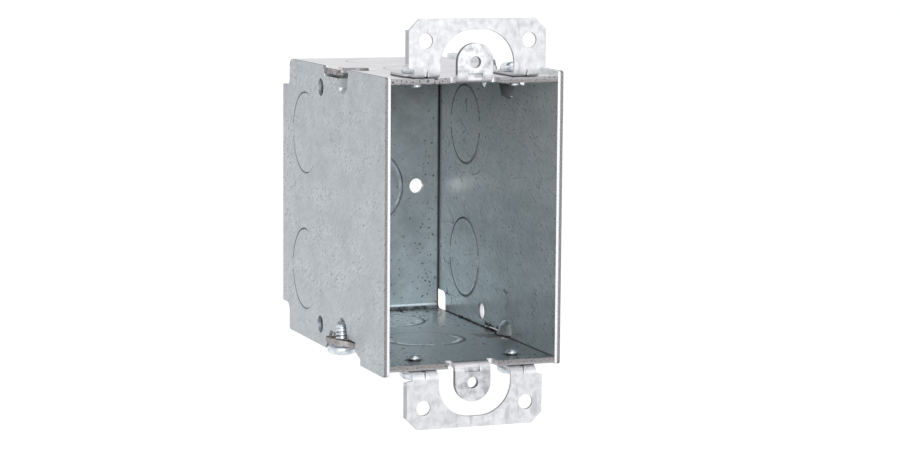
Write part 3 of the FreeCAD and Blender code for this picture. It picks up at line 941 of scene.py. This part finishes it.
def tieMesh(side):
    bm = bmesh.new()
    radius = box["knockoutRadius"]
    half = math.asin(box["knockoutTie"] / radius)
    steps = tie["steps"]
    faces = [side * box["halfWidth"], side * (box["halfWidth"] + box["sheet"])]
    for height in box["plateKnockoutHeights"]:
        rows = []
        for step in range(steps + 1):
            angle = half * (2 * step / steps - 1)
            row = []
            for x in faces:
                for reach in (radius - tie["overlap"], radius + tie["overlap"]):
                    depth = box["plateKnockoutDepth"] - reach * math.cos(angle)
                    row.append(bm.verts.new((x * mm, depth * mm,
                                             (-side * height + reach * math.sin(angle)) * mm)))
            rows.append(row)
        for near, far in zip(rows, rows[1:]):
            for a, b in ((0, 1), (1, 3), (3, 2), (2, 0)):
                bm.faces.new((near[a], near[b], far[b], far[a]))
        for row in (rows[0], rows[-1]):
            bm.faces.new((row[0], row[1], row[3], row[2]))
    bmesh.ops.recalc_face_normals(bm, faces=bm.faces)
    return bm


for side, node in ((-1, "left_side_plate"), (1, "right_side_plate")):
    ties = meshObject(node + "_ties", tieMesh(side), finishes[node])
    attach(ties, "box")
print("ties made")


# Torn burrs left by the press where the hook and the scoop meet the wall
burr = {
    "step": 0.28,
    "root": 0.6,  # how far the strip reaches into the wall
    "bite": 0.05,  # and into the plate
    "jag": 0.2,
    "dark": rgb(0.035, 0.034, 0.032),
    "light": rgb(0.30, 0.31, 0.31),
    "toneSize": 0.9,
    "toneSpread": (0.55, 0.7),
    "rough": 0.5,
    "roughGrain": 0.2,
    "metallic": 0.3,
    "bevel": 0.05,
    "runs": (  # wall, depths, heights, lean over the plate, seed
        (-1, (30.4, 36.4), (0.75, 1.1), 0.12, 3),
        (-1, (36.0, 50.0), (0.15, 1.4), 0.6, 4),
        (-1, (52.0, 76.0), (0.1, 0.9), 0.5, 6),
    ),
}


def burrMesh(up, span, heights, lean, seed):
    # up is the sign of the wall; the strip stands on the wall against the right plate
    start, end = span
    low, high = heights
    chance = random.Random(seed)
    bm = bmesh.new()
    count = int((end - start) / burr["step"])
    feet, tips = [], []
    for step in range(count + 1):
        y = start + (end - start) * step / count
        swell = max(0.0, math.sin(math.pi * step / count)) ** 0.6
        clump = 0.5 + 0.5 * math.sin(seed + y * 1.7) * math.sin(seed * 2 + y * 0.6)
        height = low + (high - low) * swell * clump * chance.uniform(0.2, 1.0)
        drop = chance.uniform(0.3, 1.0) * lean * clump
        foot = (box["halfWidth"] + burr["bite"], y, up * (box["wallInner"] + burr["root"]))
        tip = (box["halfWidth"] - drop, y + chance.uniform(-burr["jag"], burr["jag"]),
               up * (box["wallInner"] - height))
        feet.append(bm.verts.new([c * mm for c in foot]))
        tips.append(bm.verts.new([c * mm for c in tip]))
    for step in range(count):
        bm.faces.new((feet[step], feet[step + 1], tips[step + 1], tips[step]))
    return bm


def burrFinish():
    board, here = begin("burrSteel")
    share = board.noise(here["place"], burr["toneSize"], detail=2.0).ramp(*burr["toneSpread"])
    colour = board.mix(share, burr["dark"], burr["light"])
    roughness = here["grain"] * burr["roughGrain"] + burr["rough"]
    return board.metal(colour, roughness.held(), board.rounded(burr["bevel"]), burr["metallic"])


burrSteel = burrFinish()
for place, run in enumerate(burr["runs"]):
    made = meshObject("burr_{}".format(place), burrMesh(*run), burrSteel)
    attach(made, "box")
print("burrs made")


# Machine screws with real threads, in place of the plain solids
screw = {
    "radius": 1.72,
    "rootRadius": 1.38,
    "pitch": 1.0,
    "turnSteps": 40,
    "pitchSteps": 8,
    "rootFlat": 0.12,
    "flank": 0.68,
    "tipLength": 0.7,
    "tipRadius": 1.0,
    "headRadius": 3.9,
    "headHeight": 2.45,
    "headProfile": ((3.55, 0.0), (3.86, 0.22), (3.9, 0.8), (3.82, 1.35), (3.5, 1.8),
                    (2.9, 2.15), (2.1, 2.36), (1.2, 2.43)),
    "slotWidth": 1.0,
    "slotDepth": 0.9,
    "slotPast": 2.4,  # the cutter's length over the head's radius
}


def ringFaces(bm, lower, upper):
    count = len(lower)
    for i in range(count):
        j = (i + 1) % count
        bm.faces.new((lower[i], lower[j], upper[j], upper[i]))


def threadRadius(z, turn, length):
    phase = (z / screw["pitch"] - turn) % 1.0
    crest = 1.0 - abs(phase * 2.0 - 1.0)
    shape = min(1.0, max(0.0, (crest - screw["rootFlat"]) / screw["flank"]))
    radius = screw["rootRadius"] + (screw["radius"] - screw["rootRadius"]) * shape
    up = z + length
    if up < screw["tipLength"]:
        slope = screw["tipRadius"] + (screw["radius"] - screw["tipRadius"]) * up / screw["tipLength"]
        radius = min(radius, slope)
    return radius


def threadedMesh(length):
    bm = bmesh.new()
    steps = screw["turnSteps"]
    rows = int(length / screw["pitch"] * screw["pitchSteps"])
    rings = []
    for row in range(rows + 1):
        z = -length + length * row / rows
        ring = []
        for i in range(steps):
            turn = i / steps
            radius = threadRadius(z, turn, length)
            angle = turn * math.tau
            ring.append(bm.verts.new((radius * math.cos(angle), radius * math.sin(angle), z)))
        rings.append(ring)
    for radius, z in screw["headProfile"]:
        rings.append([bm.verts.new((radius * math.cos(i / steps * math.tau),
                                    radius * math.sin(i / steps * math.tau), z))
                      for i in range(steps)])
    for lower, upper in zip(rings, rings[1:]):
        ringFaces(bm, lower, upper)
    bm.faces.new(list(reversed(rings[0])))
    bm.faces.new(rings[-1])
    for face in bm.faces:
        face.smooth = True
    bm.normal_update()
    return bm


def slotted(made, angle):
    # cuts the driver slot, then keeps the cut mesh
    bm = bmesh.new()
    bmesh.ops.create_cube(bm, size=1.0)
    low = screw["headHeight"] - screw["slotDepth"]
    for vert in bm.verts:
        vert.co.x *= screw["slotWidth"]
        vert.co.y *= screw["headRadius"] * screw["slotPast"]
        vert.co.z = low if vert.co.z < 0 else screw["headHeight"] + 1.0
    cutter = meshObject("slotCutter", bm, None)
    cutter.rotation_euler.z = math.radians(angle)
    cut = made.modifiers.new("slot", "BOOLEAN")
    cut.operation = "DIFFERENCE"
    cut.solver = "EXACT"
    cut.object = cutter
    bpy.context.view_layer.update()
    depsgraph = bpy.context.evaluated_depsgraph_get()
    mesh = bpy.data.meshes.new_from_object(made.evaluated_get(depsgraph))
    made.modifiers.clear()
    made.data = mesh
    bpy.data.objects.remove(cutter)


def makeScrew(node, length, angle, upsideDown):
    low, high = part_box(node)
    made = meshObject(node + "_threaded", threadedMesh(length), screwZinc)
    slotted(made, angle)
    seat = low.z + screw["headHeight"] * mm if upsideDown else high.z - screw["headHeight"] * mm
    turn = Matrix.Rotation(math.pi, 4, "X") if upsideDown else Matrix.Identity(4)
    middle = Vector(((low.x + high.x) / 2, (low.y + high.y) / 2, seat))
    made.data.transform(Matrix.Translation(middle) @ turn @ Matrix.Scale(mm, 4))
    made.data.update()
    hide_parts(node)
    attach(made, "box")


screwPlaces = (  # node, length under the head, the slot's angle, head down
    ("left_gang_screw", 5.7, 105, True),
    ("right_gang_screw", 5.7, 60, False),
    ("upper_left_ear_screw", 3.9, 40, False),
    ("upper_right_ear_screw", 3.9, -55, False),
    ("lower_left_ear_screw", 3.9, 70, True),
    ("lower_right_ear_screw", 3.9, -25, True),
)
for place in screwPlaces:
    makeScrew(*place)
print("screws made")


# Camera at the photograph's place, in millimetres, with the directions of its axes
view = {
    "place": (-242.24, -619.49, 83.54),
    "right": (0.93634, -0.35102, 0.00716),
    "up": (0.03564, 0.11533, 0.99269),
    "back": (-0.34928, -0.92924, 0.12050),
    "lens": 103.92,
    "sensor": 36.0,
    "clipStart": 0.01,
    "shift": (0.0108, -0.0138),
}
lens = bpy.data.cameras.new("camera")
lens.lens = view["lens"]
lens.sensor_width = view["sensor"]
lens.shift_x, lens.shift_y = view["shift"]
lens.clip_start = view["clipStart"]
camera = bpy.data.objects.new("camera", lens)
columns = Matrix((view["right"], view["up"], view["back"])).transposed()
camera.matrix_world = Matrix.Translation(Vector(view["place"]) * mm) @ columns.to_4x4()
bpy.context.scene.collection.objects.link(camera)
bpy.context.scene.camera = camera
bpy.context.scene.view_settings.view_transform = "Standard"


# White studio: pale floor, white surround, large soft lamps
studio = {
    "ambient": 0.5,
    "floorSize": 3.0,
    "floorTone": rgb(0.75, 0.75, 0.75),
    "floorShade": rgb(0.30, 0.30, 0.30),
    "floorGlow": 0.88,
    "floorGap": 0.0002,
    "white": rgb(1.0, 1.0, 1.0),
    "lamps": (
        ("keyLamp", (-0.24, -1.10, 0.34), 0.6, 10.5),
        ("topLamp", (0.10, 0.10, 1.30), 1.0, 2.5),
    ),
}


def backdropShare(board):
    paths = board.node("ShaderNodeLightPath")
    seen = [board.out(paths, name)
            for name in ("Is Camera Ray", "Is Glossy Ray", "Is Transmission Ray")]
    return (seen[0] + seen[1] + seen[2]).held()


def makeWorld():
    world = bpy.data.worlds.new("studio")
    bpy.context.scene.world = world
    world.use_nodes = True
    board = Board("studio", world.node_tree)
    plain, seen = [board.node("ShaderNodeBackground", None,
                              {"Color": studio["white"], "Strength": strength})
                   for strength in (studio["ambient"], 1.0)]
    board.end("ShaderNodeOutputWorld", board.blend(backdropShare(board), plain, seen))


def makeFloor():
    # the camera sees white with a faint shadow; everything else sees plain pale paper
    bm = bmesh.new()
    bmesh.ops.create_grid(bm, x_segments=2, y_segments=2, size=studio["floorSize"])
    board = Board("paleFloor")
    paper, shade = [board.node("ShaderNodeBsdfDiffuse", None, {"Color": studio[tone]})
                    for tone in ("floorTone", "floorShade")]
    glow = board.node("ShaderNodeEmission", None,
                      {"Color": studio["white"], "Strength": studio["floorGlow"]})
    white = board.node("ShaderNodeAddShader", None,
                       {0: board.out(shade), 1: board.out(glow)})
    board.end("ShaderNodeOutputMaterial", board.blend(backdropShare(board), paper, white))
    floor = meshObject("floor", bm, board.material)
    floor.location = (0.0, 0.0, cadBox[0].z - studio["floorGap"])


def makeLamps():
    for name, place, size, power in studio["lamps"]:
        lamp = bpy.data.lights.new(name, "AREA")
        lamp.size = size
        lamp.energy = power
        holder = bpy.data.objects.new(name, lamp)
        holder.location = place
        holder.rotation_euler = (-Vector(place)).to_track_quat("-Z", "Y").to_euler()
        bpy.context.scene.collection.objects.link(holder)


makeWorld()
makeFloor()
makeLamps()
print("studio made")
